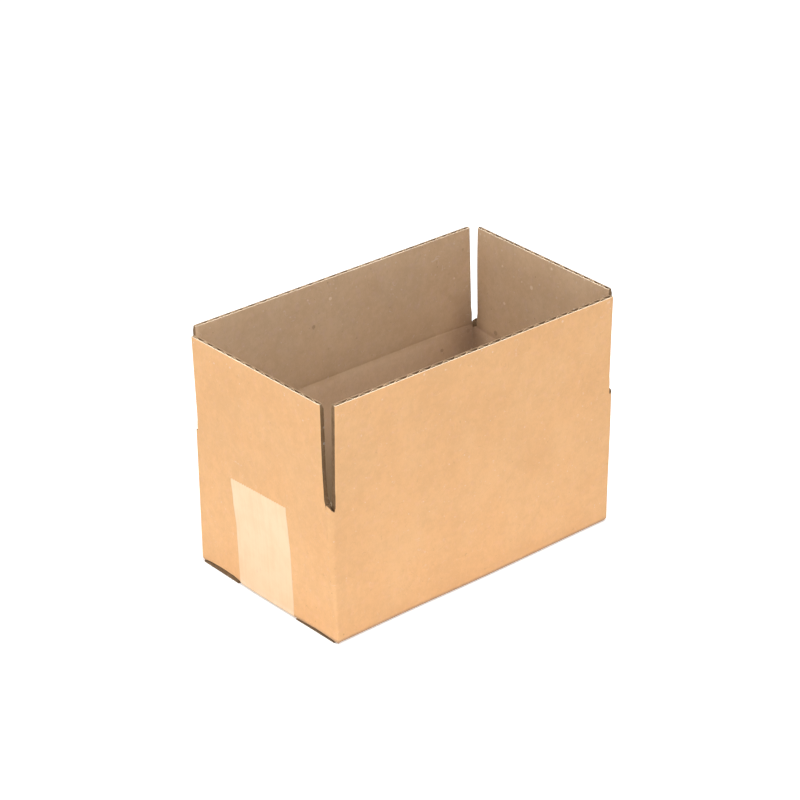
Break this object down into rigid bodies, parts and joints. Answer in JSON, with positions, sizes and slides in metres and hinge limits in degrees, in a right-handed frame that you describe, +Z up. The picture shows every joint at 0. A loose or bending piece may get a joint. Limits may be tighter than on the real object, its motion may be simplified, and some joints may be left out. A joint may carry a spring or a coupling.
{
  "type": "open cardboard box",
  "caption": "Open corrugated cardboard box with standing hinged top flaps and a bottom closed with tape; holds goods for packing and shipping.",
  "frame": {"origin": "middle of the underside, on the surface that the box stands on", "axes": "+X along the long walls, +Y from the front wall to the back wall, +Z up"},
  "size_m": [0.2047, 0.1212, 0.1419],
  "materials": {
    "kraft_board": "matte",
    "packing_tape": "satin"
  },
  "bodies": {
    "carton": {"box_body": "kraft_board", "bottom_tape": "packing_tape"},
    "front_flap": {"front_flap": "kraft_board"},
    "back_flap": {"back_flap": "kraft_board"},
    "left_flap": {"left_flap": "kraft_board"},
    "right_flap": {"right_flap": "kraft_board"}
  },
  "joints": [
    {"name": "front_flap_fold", "type": "hinge", "parent": "carton", "child": "front_flap", "pos_m": [0, -0.059, 0.084], "axis": [-1, 0, 0], "range_deg": [-163.5, 91.5]},
    {"name": "back_flap_fold", "type": "hinge", "parent": "carton", "child": "back_flap", "pos_m": [0, 0.059, 0.084], "axis": [1, 0, 0], "range_deg": [-163.3, 91.7]},
    {"name": "left_flap_fold", "type": "hinge", "parent": "carton", "child": "left_flap", "pos_m": [-0.10075, 0, 0.0804], "axis": [0, 1, 0], "range_deg": [-163.6, 91.4]},
    {"name": "right_flap_fold", "type": "hinge", "parent": "carton", "child": "right_flap", "pos_m": [0.10075, 0, 0.0804], "axis": [0, -1, 0], "range_deg": [-163.5, 91.5]}
  ]
}
